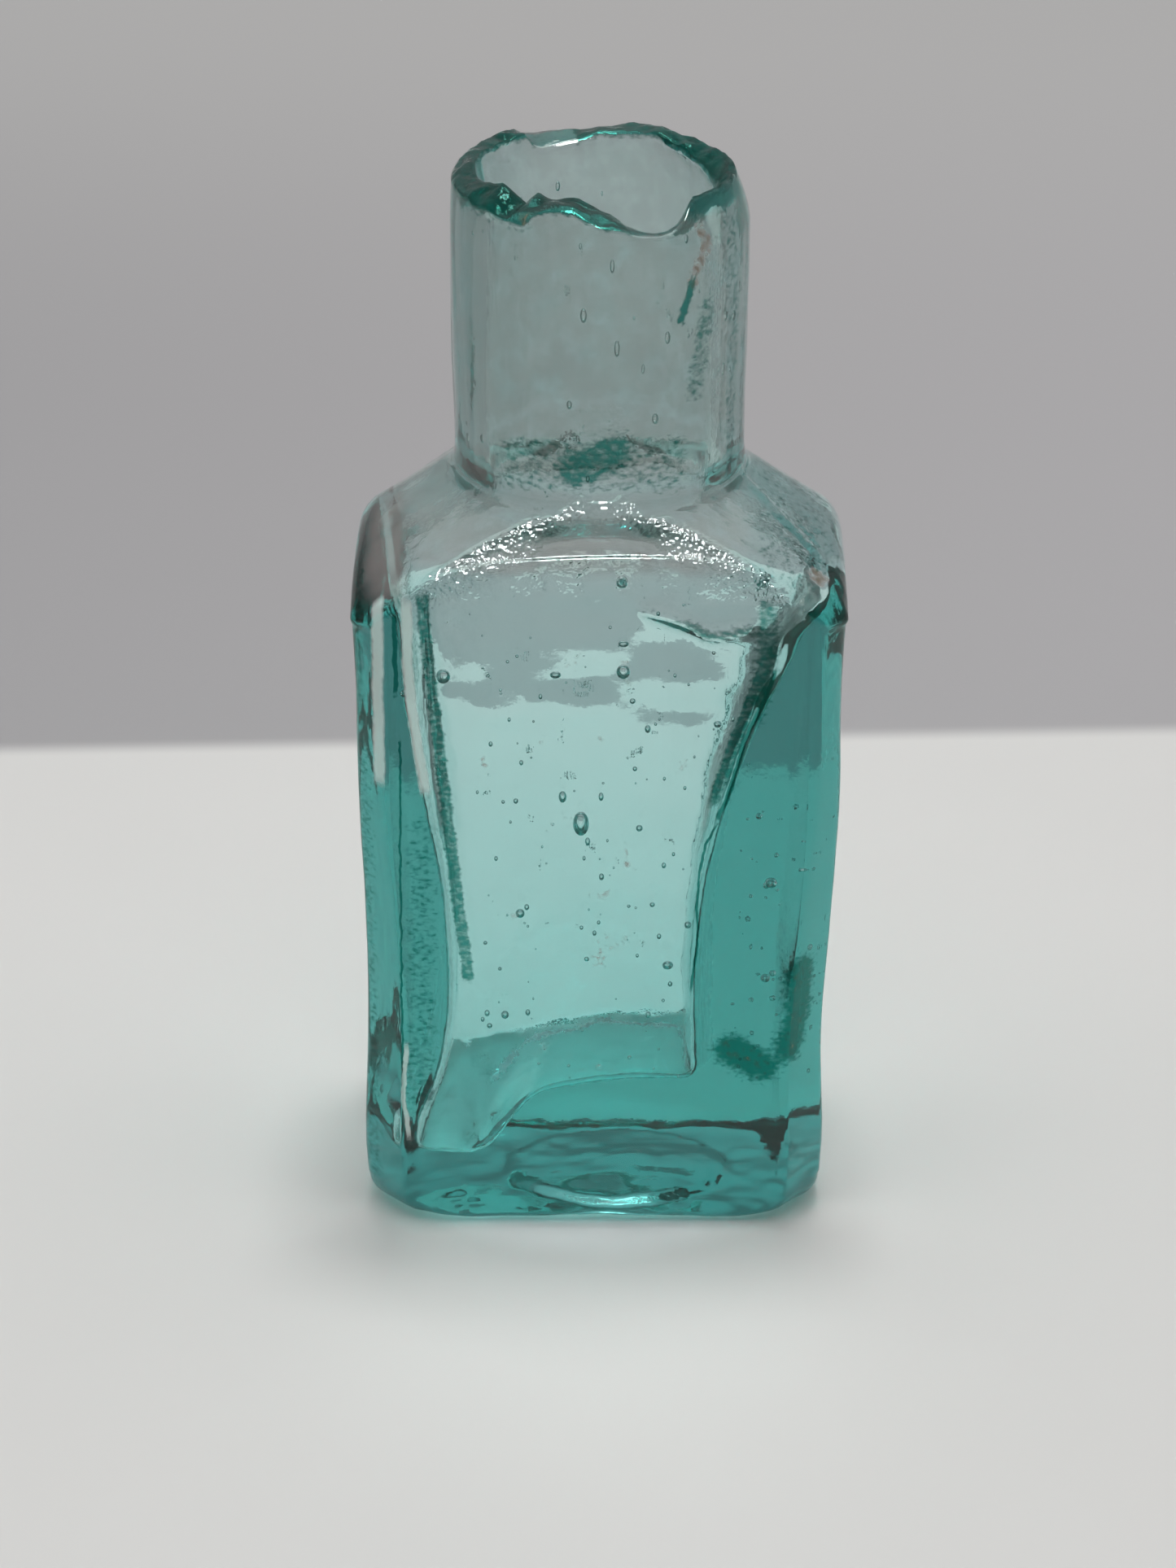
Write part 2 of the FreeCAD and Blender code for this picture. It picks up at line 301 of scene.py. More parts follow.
def base_height(x, y):
    """Underside: a rough rim that rests and a shallow cone, pushed up inside a ring."""
    radius, rim, rise = 7.5, 0.45, 0.55
    off_x, off_y = 1.2, 0.3                     # the cone isn't quite central
    deepest_rough = 0.17                        # lifts the lowest lumps to the table
    out = np.hypot(x - off_x, y - off_y)
    cone = rim * (1 - blend(radius - 0.8, radius, out)) + rise * np.clip(1 - out / radius, 0, 1)
    points = xyz(x, y, 0)
    rough = 0.13 * lumps(points, 3.2, 21) + 0.06 * lumps(points, 1.3, 22)
    return cone + deepest_rough + rough


def corner_share(theta):
    """1 at the body's cut corners, 0 along its sides."""
    radius = body_outline(theta, np.full_like(theta, 10.0))
    x, y = np.abs(radius * np.cos(theta)), np.abs(radius * np.sin(theta))
    return blend(9.0, 12.5, x) * blend(4.0, 8.5, y)


def outer_rings(theta):
    """Rings of points over the outside, from the middle of the base up to the lip's outer edge."""
    rings = []
    cos, sin = np.cos(theta), np.sin(theta)
    heel = HEEL + CORNER_HEEL * corner_share(theta)
    foot = body_outline(theta, np.zeros_like(theta)) - heel
    for share in np.linspace(0.03, 1, BASE_RINGS):
        x, y = share * foot * cos, share * foot * sin
        rings.append(xyz(x, y, base_height(x, y)))
    rough_edge = rings[-1][:, 2]
    for angle in np.linspace(0, 1, 10)[1:] * QUARTER:
        radius = foot + heel * math.sin(angle)
        z = heel * (1 - math.cos(angle)) + rough_edge * (1 - angle / QUARTER)
        rings.append(xyz(radius * cos, radius * sin, z))

    wall_end = body_outline(theta, np.full_like(theta, WALL_TOP))
    edge_round = 0.3 + 0.9 * blend(9.0, 12.6, np.abs(wall_end * cos))
    wall_top = shoulder_height(wall_end * cos, wall_end * sin) - edge_round
    for share in np.linspace(0, 1, 112)[1:]:
        z = heel + (wall_top - heel) * share
        radius = body_outline(theta, z)
        rings.append(xyz(radius * cos, radius * sin, z))

    for angle in np.linspace(0, 1, 11)[1:] * QUARTER:
        radius = wall_end - edge_round * (1 - math.cos(angle))
        rings.append(shoulder_ring(radius, cos, sin, edge_round * (1 - math.sin(angle))))
    root_round = np.minimum(0.6, 0.42 * (wall_end - NECK))
    inner_end = NECK + root_round
    outer_end = wall_end - edge_round
    for share in np.linspace(0, 1, 22)[1:] ** 1.5:
        rings.append(shoulder_ring(outer_end + (inner_end - outer_end) * share, cos, sin, 0))
    for angle in np.linspace(0, 1, 9)[1:] * QUARTER:
        radius = inner_end - root_round * math.sin(angle)
        rings.append(shoulder_ring(radius, cos, sin, -root_round * (1 - math.cos(angle))))

    start = rings[-1][:, 2]
    outer_lip, _ = break_heights(theta)
    worn = band(-50, 50, 25, in_degrees(theta))
    for share in np.linspace(0, 1, 56)[1:]:
        z = start + (outer_lip - start) * share
        radius = NECK + curve(z, [(47, 0.0), (50, -0.07), (56, 0.02), (62, 0.04), (66.5, 0.0)])
        near_lip = np.clip((z - (LIP - 3.2)) / 3.2, 0, 1) ** 1.5
        rounding = 1.1 * near_lip * (0.15 + 0.75 * worn)
        rings.append(xyz((radius - rounding) * cos, (radius - rounding) * sin, z))
    return np.array(rings)


# ---------------------------------------------------------------- inner surface

def cavity_left(z):
    """Distance of the cavity's left wall from the axis, near the front."""
    return curve(z, [(3, 11.8), (6, 11.5), (9, 10.4), (13, 9.6), (18, 9.4), (24, 9.9), (28, 10.6), (34, 11.5),
                     (40, 12.0), (45, 12.2)])


def cavity_right(z):
    """The same for its right wall."""
    return curve(z, [(6, 6.2), (14, 6.0), (18, 6.0), (22, 6.4), (25, 6.9), (29, 7.9), (34, 9.6), (37.6, 11.2),
                     (39.6, 12.0), (40.8, 12.9), (45, 13.1)])


def cavity_depth(z):
    """Half of the cavity, front to back: the walls are thinner towards the shoulders."""
    return curve(z, [(3, 6.2), (8, 6.5), (18, 7.15), (31, 7.8), (40, 8.5), (45, 8.65)])


def cavity_middle(z):
    """Sideways place of the cavity's middle line, which meets the neck's axis at the top."""
    return curve(z, [(5, -2.2), (20, -1.6), (34, -0.4), (44, 0.0), (70, 0.0)])


def cavity_outline(theta, z):
    """Inside of the walls at height z, about the cavity's middle line: a little wider at the back."""
    middle = cavity_middle(z)
    front = 7.0                                 # where the side walls' given places hold
    sides = [cavity_right(z) - middle, cavity_depth(z), cavity_left(z) + middle, cavity_depth(z)]
    planes = []
    for k, (distance, lean) in enumerate(zip(sides, np.radians([-6, 0, 3, 0]))):
        planes.append((k * QUARTER + lean, (distance + front * abs(math.tan(lean))) * math.cos(lean)))
    return outline(theta, planes, curve(z, [(4, 26.0), (16, 18.0), (26, 14.0), (36, 10.5), (44, 10.0)]))


def cavity_floor(x, y):
    """Floor of the cavity: high on the thick side, low on the thin side, and tipped to the back."""
    tip = 0.24
    level = curve(x, [(-11, 3.9), (-8.4, 3.7), (-7.4, 4.2), (-6, 5.2), (-5, 6.0), (-3.5, 6.8), (-1, 7.4),
                      (3, 7.9), (6, 7.8)])
    return level - tip * y * blend(-8, -4, x)


def inner_rings(theta):
    """Rings of points over the inside, from the lip's inner edge down to the middle of the floor."""
    rings = []
    cos, sin = np.cos(theta), np.sin(theta)
    _, inner_lip = break_heights(theta)
    flare = 0.5 * band(150, 210, 25, in_degrees(theta) % 360)
    for share in np.linspace(0, 1, 46)[:-1]:
        z = inner_lip + (ROOF - inner_lip) * share
        into_mouth = 0.95 * np.clip(1 - (z - ROOF) / 1.2, 0, 1)
        mouth_round = MOUTH_ROUND * (1 - np.sqrt(1 - into_mouth ** 2))
        radius = BORE + curve(z, [(49, 0.0), (56, -0.05), (63, 0.05)]) + mouth_round
        radius = radius + flare * blend(64, 66, z)
        rings.append(xyz(radius * cos, radius * sin, z))

    top = np.full_like(theta, CAVITY_TOP)
    wall = cavity_outline(theta, top)
    edge = np.stack([cavity_middle(top) + wall * cos, wall * sin], axis=-1)
    mouth_radius = BORE + 0.69 * MOUTH_ROUND    # what the bore's rounding reaches at its foot
    mouth = np.stack([mouth_radius * cos, mouth_radius * sin], axis=-1)
    span = np.linalg.norm(edge - mouth, axis=-1)
    roof_round = np.minimum(1.5, 0.45 * span)
    for share in np.linspace(0, 1, 20)[:-1]:
        place = mouth + (edge - mouth) * share
        reach = span * share
        near = np.clip(1 - span * (1 - share) / roof_round, 0, 1)
        ramp = ROOF - 0.64 * reach + 0.014 * reach ** 2 - 0.5 * blend(2, 9, place[:, 1])
        rings.append(xyz(place[:, 0], place[:, 1], ramp - roof_round * (1 - np.sqrt(1 - near ** 2))))
    wall_top = rings[-1][:, 2] - 0.6

    corner = 0.8                                # rounding between the walls and the floor
    start_level = cavity_floor(cavity_middle(6.0) + 0.85 * wall * cos, 0.8 * wall * sin) + corner
    for share in np.linspace(0, 1, 92):
        z = wall_top + (start_level - wall_top) * share
        radius = cavity_outline(theta, z)
        rings.append(xyz(cavity_middle(z) + radius * cos, radius * sin, z))
    bottom = rings[-1]
    middle = cavity_middle(bottom[:, 2])
    radius = cavity_outline(theta, bottom[:, 2])
    for angle in np.linspace(0, 1, 10)[1:] * QUARTER:
        inset = radius - corner * (1 - math.cos(angle))
        x, y = middle + inset * cos, inset * sin
        z = bottom[:, 2] - corner * math.sin(angle)
        rings.append(xyz(x, y, z + (cavity_floor(x, y) - z) * (angle / QUARTER) ** 2))
    flat = radius - corner
    for share in np.linspace(1, 0.04, 16)[1:]:
        x, y = middle + share * flat * cos, share * flat * sin
        rings.append(xyz(x, y, cavity_floor(x, y)))
    return np.array(rings)


# ---------------------------------------------------------------- waviness

# the fold inside the front wall: (x, y, z) from its left end to its right end
FOLD = [(2.6, -8.6, 41.9), (4.0, -8.6, 41.5), (5.2, -8.6, 41.0), (6.4, -8.6, 40.2), (7.4, -8.6, 40.3),
        (8.8, -8.6, 40.6)]


def normals(rings):
    """Direction across the surface at each point of a grid of rings."""
    across = np.roll(rings, -1, axis=1) - np.roll(rings, 1, axis=1)
    along = np.gradient(rings, axis=0)
    normal = np.cross(across, along)
    return normal / np.maximum(np.linalg.norm(normal, axis=-1, keepdims=True), 1e-9)


def outer_push(rings):
    """How far the outside stands proud of its plain shape: mould waves, drawn streaks and pits."""
    z = rings[..., 2]
    neck = blend(49, 51, z)
    foot = 1 - blend(3, 9, z)
    push = 0.06 * lumps(rings, 7.0, 41) + 0.02 * lumps(rings, 2.6, 42)
    push = push + (0.012 + 0.03 * neck) * lumps(rings, (1.1, 1.1, 9), 43)
    push = push + foot * (0.05 * lumps(rings, 2.0, 44) + 0.03 * lumps(rings, 0.9, 45))
    return push


def inner_push(rings):
    """The same for the inside, which is wavier near the shoulders, with a fold at the upper right."""
    z = rings[..., 2]
    neck = blend(46, 49, z)
    upper = band(35.5, 42, 2, z)
    push = 0.10 * lumps(rings, 8.0, 51) + 0.035 * lumps(rings, 3.2, 52)
    push = push + (0.015 + 0.03 * neck) * lumps(rings, (1.2, 1.2, 9), 53)
    push = push + upper * 0.14 * lumps(rings, (4.0, 4.0, 2.2), 54)
    push = push + upper * 0.05 * lumps(rings, (1.9, 1.9, 1.2), 55)
    push = push + 0.03 * (1 - neck) * lumps(rings, (0.9, 0.9, 1.6), 56)
    return push + 0.32 * near_path(rings, FOLD, 0.55)


# ---------------------------------------------------------------- mesh

def grid_faces(ring_count, around):
    """Quads between successive rings of a closed grid."""
    faces = []
    for ring in range(ring_count - 1):
        a = ring * around
        b = a + around
        for k in range(around):
            following = (k + 1) % around
            faces.append((a + k, a + following, b + following, b + k))
    return faces


def capped(rings):
    """Points and faces of a closed skin: a grid of rings with a fan of triangles at each end."""
    count, around = rings.shape[:2]
    points = rings.reshape(-1, 3)
    first, last = len(points), len(points) + 1
    points = np.concatenate([points, [rings[0].mean(axis=0)], [rings[-1].mean(axis=0)]])
    faces = grid_faces(count, around)
    end = (count - 1) * around
    for k in range(around):
        following = (k + 1) % around
        faces.append((first, following, k))
        faces.append((end + k, end + following, last))
    return points, faces


def bottle_skin():
    """Closed surface of the glass: outside, broken lip and inside as one grid."""
    theta = spread_angles()
    outer = outer_rings(theta)
    inner = inner_rings(theta)
    outer_moves = normals(outer) * outer_push(outer)[..., None]
    inner_moves = normals(inner) * inner_push(inner)[..., None]
    outer[BASE_RINGS:-1] += outer_moves[BASE_RINGS:-1]
    inner[1:] -= inner_moves[1:]
    rough = 1 - 0.8 * smooth_break(in_degrees(theta))
    lip = []
    for share in np.linspace(0, 1, LIP_RINGS + 2)[1:-1]:
        ring = outer[-1] + (inner[0] - outer[-1]) * share
        ring[:, 2] += 0.10 * math.sin(math.pi * share)
        ring[:, 2] += rough * (0.16 * lumps(ring, 0.9, 61) + 0.10 * lumps(ring, 0.45, 62))
        lip.append(ring)
    points, faces = capped(np.concatenate([outer, np.array(lip), inner]))
    on_lip = np.zeros(len(points))
    start = (len(outer) - 1) * AROUND
    lip_and_edges = LIP_RINGS + 2
    on_lip[start:start + lip_and_edges * AROUND] = np.tile(rough, lip_and_edges)
    return points, faces, on_lip


def bubble(centre, across, tall):
    """Skin of one void in the glass, facing inwards: rings from its bottom to its top."""
    around = 12
    turn = np.arange(around) / around * TAU
    rings = []
    for polar in np.linspace(0, math.pi, 9)[1:-1]:
        radius = across * math.sin(polar)
        rings.append(xyz(radius * np.cos(turn), radius * np.sin(turn), tall * math.cos(polar)))
    points, faces = capped(np.array(rings))
    return points + np.array(centre), faces


# bubbles that stand out: x and z on the front, then half width and half height
BUBBLES = [
    (-1.1, 28.0, 0.50, 0.80), (1.3, 43.7, 0.36, 0.40), (1.4, 38.0, 0.42, 0.46), (-2.6, 37.8, 0.34, 0.22),
    (1.4, 39.8, 0.33, 0.20), (-9.2, 37.7, 0.43, 0.46), (9.4, 43.5, 0.33, 0.27), (-2.2, 29.8, 0.24, 0.38),
    (0.1, 29.8, 0.15, 0.28), (-0.7, 26.8, 0.16, 0.28), (10.4, 24.0, 0.38, 0.34), (-4.8, 21.9, 0.28, 0.30),
    (2.4, 27.7, 0.20, 0.22), (4.2, 18.3, 0.34, 0.28), (7.0, 34.6, 0.24, 0.22), (-11.5, 36.6, 0.29, 0.22),
    (5.4, 21.1, 0.22, 0.23), (10.2, 17.4, 0.30, 0.28), (-5.8, 14.8, 0.25, 0.28),
]


def bubbles():
    """The bubbles that stand out, then seeds scattered in the thin walls, the thick side and the neck."""
    in_front_wall = -8.85
    random = np.random.default_rng(7)
    skins = []
    for x, z, across, tall in BUBBLES:
        skins.append(bubble((x, in_front_wall, z), across, tall))
    for _ in range(150):
        z = random.uniform(10, 43)
        x = random.uniform(-8, 5.5 if z < 30 else 8)
        side = random.choice([-1, -1, 1])
        size = 0.05 + 0.13 * random.random() ** 2
        skins.append(bubble((x, side * random.uniform(8.9, 9.5), z), size, size * random.uniform(0.9, 1.6)))
    for _ in range(50):
        size = 0.06 + 0.16 * random.random() ** 2
        place = (random.uniform(8.6, 12.5), random.uniform(-8, 8), random.uniform(9, 28))
        skins.append(bubble(place, size, size))
    for _ in range(46):
        angle = random.uniform(0, TAU)
        radius = random.uniform(BORE + 0.5, NECK - 0.5)
        size = 0.06 + 0.14 * random.random() ** 2
        place = (radius * math.cos(angle), radius * math.sin(angle), random.uniform(49, 63.5))
        skins.append(bubble(place, size, size * random.uniform(1.5, 3.2)))
    return skins


# ---------------------------------------------------------------- where the glass is stained or rough

# marks on the outside, some of real dirt, rust and lime and some of painted shade: (x, y, z) points along
# each
FISSURE = [(5.7, -6.6, 65.0), (6.0, -6.3, 63.1), (5.2, -7.0, 61.2)]
# painted shade: dark green painted along the fissure's tail and on a patch at the neck's foot
FISSURE_TAIL = [(5.2, -7.0, 61.2), (4.6, -7.4, 59.0)]
FOOT_PATCH = [(-1.6, -8.6, 50.4), (0.9, -8.7, 51.4)]
NECK_CRUST = [(-8.6, -1.8, 49.0), (-7.6, -4.4, 48.8), (-6.3, -6.0, 48.9)]
LIP_STAIN = [(-4.3, -7.2, 65.4), (-4.3, -7.6, 64.9)]
BREAK_STAIN = [(1.6, -9.9, 45.7), (2.9, -9.9, 45.6)]
RUST = [(12.6, -7.8, 44.8), (12.9, -7.6, 43.2), (12.0, -8.6, 41.8)]
# painted shade: dark green painted down the left foot and in a column at the right
LEFT_FOOT = [(-10.6, -10, 28.0), (-10.8, -10, 20.0), (-11.1, -10, 9.0)]
RIGHT_COLUMN = [(9.8, -10, 42.3), (9.8, -10, 40.0), (9.6, -10, 37.6), (9.0, -10, 35.2)]
# patches at the lower right: thin real rust, with painted dark green shade over it
RIGHT_RUST_AND_SHADE_PATCHES = [
    [(12.4, -9.6, 18.0), (12.4, -9.6, 15.0), (11.9, -9.9, 12.8)],
    [(8.2, -10, 12.7), (10.0, -10, 11.6)],
]

# painted shade: dark green streaks painted down the neck, each with its strength
NECK_STREAKS = [
    (0.6, [(6.1, -6.2, 59.4), (5.7, -6.6, 56.5), (5.5, -6.7, 54.5)]),
    (0.5, [(7.4, -4.5, 64.6), (7.7, -4.0, 57.0), (7.6, -4.2, 48.6)]),
    (0.6, [(8.4, -2.3, 64.0), (8.5, -1.8, 56.0), (8.4, -2.3, 49.0)]),
]

# painted shade: dark lines painted down the front face where the walls meet, as they look through the glass:
# (x, z) points from the top, half width, strength
PAINTED_SHADE_LINES = [
    ([(-10.3, 43.5), (-10.1, 39.7), (-9.6, 34.4), (-9.1, 29.0), (-8.6, 23.5), (-8.0, 17.5)], 0.55, 0.85),
    ([(-11.95, 42.0), (-12.0, 36.8)], 0.20, 1.0),
    ([(-11.8, 34.0), (-12.0, 23.5), (-12.2, 8.0)], 0.10, 1.0),
    ([(9.9, 40.5), (9.6, 38.5), (8.9, 36.3), (8.1, 34.0), (7.4, 31.6), (6.8, 29.5)], 0.60, 0.85),
    ([(10.3, 38.6), (9.6, 36.3), (8.6, 33.8), (8.05, 31.6), (7.6, 30.0), (7.06, 28.5)], 0.24, 1.0),
    ([(7.06, 28.5), (6.35, 26.8), (5.95, 23.5), (5.97, 20.7), (5.6, 16.8)], 0.12, 1.0),
]

# painted highlights: light lines painted down the same face, where the glass shows bright bands
PAINTED_HIGHLIGHT_LINES = [
    ([(-12.95, 43.2), (-13.05, 36.0), (-13.1, 31.0)], 0.45, 0.8),
    ([(-11.25, 42.8), (-11.2, 38.0), (-10.8, 33.5), (-10.4, 30.5)], 0.42, 0.8),
    ([(-11.9, 13.0), (-12.15, 9.5), (-11.9, 6.5)], 0.20, 0.8),
]


def on_outside(points):
    """True outside the neck's outer surface, so that marks don't show in the bore."""
    x, y, _ = split(points)
    return np.hypot(x, y) > NECK - 0.4


def hammered(points):
    """1 where the mould left a glittering skin, on the hips where the facets meet the shoulders' cone."""
    x, y, z = split(points)
    apart = np.abs(shoulder_cone(x, y) - shoulder_facet(x, y))
    width = 0.6 + 1.2 * band(4.0, 9.5, 1.0, np.abs(x))
    on_hip = (1 - blend(0.6 * width, width, apart)) * band(0, 10.4, 0.8, np.abs(x))
    return on_hip * band(43, 49, 0.5, z) * (np.hypot(x, y) > NECK)


def ledge(points):
    """1 on the narrow ledge along the foot of each facet."""
    x, y, z = split(points)
    return band(DEPTH - 0.5, DEPTH - 0.15, 0.06, np.abs(y)) * band(-0.2, 1.2, 0.2, z - break_line(x))


def painted_deep_shade(points, on_lip):
    """Painted shade: 1 where dark green is painted into the glass's colour, for long light paths or folds
    that look dark green.
    """
    x, y, z = split(points)
    outside = on_outside(points)
    below_lip = band(-178, -122, 10, in_degrees(np.arctan2(y, x))) * blend(63.6, 65.0, z)
    neck_foot = band(49.6, 52.0, 1.0, z + 0.10 * np.abs(x)) * band(-5.4, 4.4, 1.2, x) * (y < 0)
    neck = strongest(
        0.55 * below_lip,
        0.52 * neck_foot,
        0.85 * near_path(points, FOOT_PATCH, 2.0),
        near_path(points, FISSURE_TAIL, 0.45),
        *(strength * near_path(points, streak, 1.1) for strength, streak in NECK_STREAKS))
    right_shoulder = blend(7.5, 10.0, x) * band(43.5, 48, 0.8, z) * blend(-0.5, 1.0, x + 1.2 * y + 1.5)
    near_front = 1 - blend(-5, -2, y)
    left_rim = blend(13.6, 14.2, -x) * band(35, 47, 1.5, z) * near_front
    left_foot = blend(13.2, 14.0, -x) * band(3, 33, 2, z) * near_front
    body = strongest(
        0.5 * near_path(points, LEFT_FOOT, 1.4),
        0.8 * near_path(points, RIGHT_COLUMN, 1.1),
        *(near_path(points, patch, 1.9) for patch in RIGHT_RUST_AND_SHADE_PATCHES),
        near_path(points, FOLD, 0.5),
        0.75 * left_rim)
    streaked = strongest(neck, 0.32 * right_shoulder, 0.5 * left_foot) * outside
    return np.clip(strongest(on_lip, streaked, body), 0, 1)


def filmed(points):
    """1 where a grey film of old lime dulls the outside; the same grey haze is laid on strongly in a band at
    the upper left corner.
    """
    x, y, z = split(points)
    neck = 0.8 * blend(49, 50, z)
    shoulder = 0.75 * band(44.8, 48.6, 0.8, z) * (1 - 0.8 * blend(7, 10, x))
    crust = near_path(points, NECK_CRUST, 1.3)
    left_corner = 1.3 * band(-13.2, -12.0, 1.2, x) * band(43.4, 45.6, 1.4, z) * (y < 0)
    return strongest(neck, shoulder, crust, left_corner) * on_outside(points)


def dirty(points):
    """1 where brown dirt or rust clings."""
    x, y, z = split(points)
    specks = np.clip(lumps(points, 1.7, 81) - 0.72, 0, 1) * 2.0
    specks = specks * band(8, 40, 3, z) * (np.abs(x) < 9) * (y < 0)
    total = strongest(
        0.6 * near_path(points, FISSURE, 0.7),
        0.75 * near_path(points, RUST, 1.0),
        near_path(points, LIP_STAIN, 0.5),
        0.9 * near_path(points, BREAK_STAIN, 0.5),
        *(0.3 * near_path(points, patch, 1.3) for patch in RIGHT_RUST_AND_SHADE_PATCHES),
        specks)
    return np.clip(total, 0, 1)


def mark(mesh, name, values):
    """Stores one number per point for the material to read."""
    layer = mesh.attributes.new(name, "FLOAT", "POINT")
    layer.data.foreach_set("value", np.asarray(values, dtype=np.float32))


# ---------------------------------------------------------------- material

class Shader:
    """A node tree that is wired by short calls."""

    def __init__(self, name):
        self.material = bpy.data.materials.new(name)
        self.material.use_nodes = True
        self.tree = self.material.node_tree
        self.tree.nodes.clear()

    def node(self, kind, inputs=None, **settings):
        """Adds a node; an input takes a number, a colour or another node's output."""
        made = self.tree.nodes.new(kind)
        for key, setting in settings.items():
            setattr(made, key, setting)
        for key, source in (inputs or {}).items():
            if isinstance(source, bpy.types.NodeSocket):
                self.tree.links.new(source, made.inputs[key])
            else:
                made.inputs[key].default_value = source
        return made

    def math(self, operation, *values):
        made = self.node("ShaderNodeMath", dict(enumerate(values)), operation=operation)
        return made.outputs[0]

    def noise(self, size, detail=2.0, stretch=(1, 1, 1)):
        """Noise with lumps of a size in millimetres, from 0 to 1."""
        place = self.node("ShaderNodeTexCoord").outputs["Object"]
        shrink = tuple(1 / times for times in stretch)
        scaled = self.node("ShaderNodeVectorMath", {0: place, 1: shrink}, operation="MULTIPLY").outputs[0]
        made = self.node("ShaderNodeTexNoise", {"Vector": scaled, "Scale": 1 / (size * MM), "Detail": detail})
        return made.outputs[0]

    def mask(self, name):
        return self.node("ShaderNodeAttribute", attribute_name=name).outputs["Fac"]

    def ramp(self, value, start, end):
        """0 at start, 1 at end, smooth between; start may be the larger."""
        made = self.node("ShaderNodeMapRange", {"Value": value, "From Min": start, "From Max": end},
                         interpolation_type="SMOOTHSTEP")
        return made.outputs["Result"]

    def patchy(self, share, noise, spread):
        """A share broken into patches by noise: none at 0, about half covered at 0.5, nearly all at 1."""
        wilder = self.math("MULTIPLY", self.math("SUBTRACT", 1.25, share), 2 * spread)
        uneven = self.math("MULTIPLY_ADD", self.math("SUBTRACT", noise, 0.5), wilder, share)
        inside = self.ramp(share, 0.02, 0.30)
        return self.math("MULTIPLY", self.ramp(uneven, 0.25, 0.95), inside)

    def trail(self, knots, width):
        """1 on a line down the front face through (x, z) points, 0 at a half width from it."""
        span = 40.0                             # width that the curve's values from 0 to 1 stand for
        wander, soft = 0.3, 0.5
        place = self.node("ShaderNodeTexCoord").outputs["Object"]
        parts = self.node("ShaderNodeSeparateXYZ", {0: place}).outputs
        share_up = self.math("DIVIDE", parts["Z"], HEIGHT * MM)
        path = self.node("ShaderNodeFloatCurve", {"Value": share_up})
        line = path.mapping.curves[0]
        line.points[0].location = (0, knots[-1][0] / span + 0.5)
        line.points[1].location = (1, knots[0][0] / span + 0.5)
        for x, z in knots:
            line.points.new(z / HEIGHT, x / span + 0.5)
        path.mapping.update()
        x_here = self.math("MULTIPLY_ADD", parts["X"], 1 / (span * MM), 0.5)
        gap = self.math("MULTIPLY", self.math("SUBTRACT", x_here, path.outputs[0]), span)
        gap = self.math("MULTIPLY_ADD", self.math("SUBTRACT", self.noise(0.8, 4.0), 0.5), wander, gap)
        near = self.ramp(self.math("ABSOLUTE", gap), width, 0.45 * width)
        start, end = knots[0][1], knots[-1][1]
        below_start = self.ramp(parts["Z"], (start + soft) * MM, (start - soft) * MM)
        above_end = self.ramp(parts["Z"], (end - soft) * MM, (end + soft) * MM)
        on_front = self.ramp(parts["Y"], 1 * MM - DEPTH * MM, 0.5 * MM - DEPTH * MM)
        within = self.math("MULTIPLY", below_start, above_end)
        return self.math("MULTIPLY", self.math("MULTIPLY", near, on_front), within)

    def trails(self, lines, start):
        """The strongest of a start value and several lines, given as in PAINTED_SHADE_LINES."""
        total = start
        for knots, width, strength in lines:
            total = self.math("MAXIMUM", total, self.math("MULTIPLY", self.trail(knots, width), strength))
        return total

    def mix(self, share, first, second):
        made = self.node("ShaderNodeMix", {0: share, 6: first, 7: second}, data_type="RGBA")
        return made.outputs[2]


WHITE = (1, 1, 1, 1)
LIME = (0.72, 0.62, 0.60, 1)
# painted shade: the dark green painted where the glass looks dark
PAINTED_SHADE_GREEN = (0.015, 0.16, 0.13, 1)
# painted reflection colour: the green that tints reflections where the shade is painted
PAINTED_GREEN_SHEEN = (0.10, 0.55, 0.45, 1)
# painted highlight: the colour of the light lines painted down the front face
PAINTED_HIGHLIGHT_COLOUR = (0.78, 1.0, 0.94, 1)
RUST_BROWN = (0.27, 0.19, 0.12, 1)
DARK_DIRT = (0.10, 0.09, 0.06, 1)
GLASS_TINT = (0.0, 0.69, 0.667, 1)
TINT_PER_METRE = 142.0


def glass_bump(shader):
    """Small relief: ripples and drawn lines everywhere, grain on the hips, splinters on the lip."""
    ripple = shader.math("MULTIPLY", shader.noise(0.9, 3.0), 0.014)
    drawn = shader.math("MULTIPLY", shader.noise(0.35, 2.0, (1, 1, 7)), 0.006)
    on_hips = shader.math("MULTIPLY", shader.mask("hammered"), 0.20)
    grain = shader.math("MULTIPLY_ADD", shader.mask("ledge"), 0.03, on_hips)
    beaten = shader.math("MULTIPLY", shader.noise(0.34, 1.0), grain)
    splinters = shader.math("MULTIPLY", shader.noise(0.40, 3.0), shader.mask("on_lip"))
    broken = shader.math("MULTIPLY", splinters, 0.07)
    height = shader.math("ADD", shader.math("ADD", ripple, drawn), shader.math("ADD", beaten, broken))
    bump = shader.node("ShaderNodeBump", {"Height": height, "Distance": MM, "Strength": 1.0})
    return bump.outputs[0]


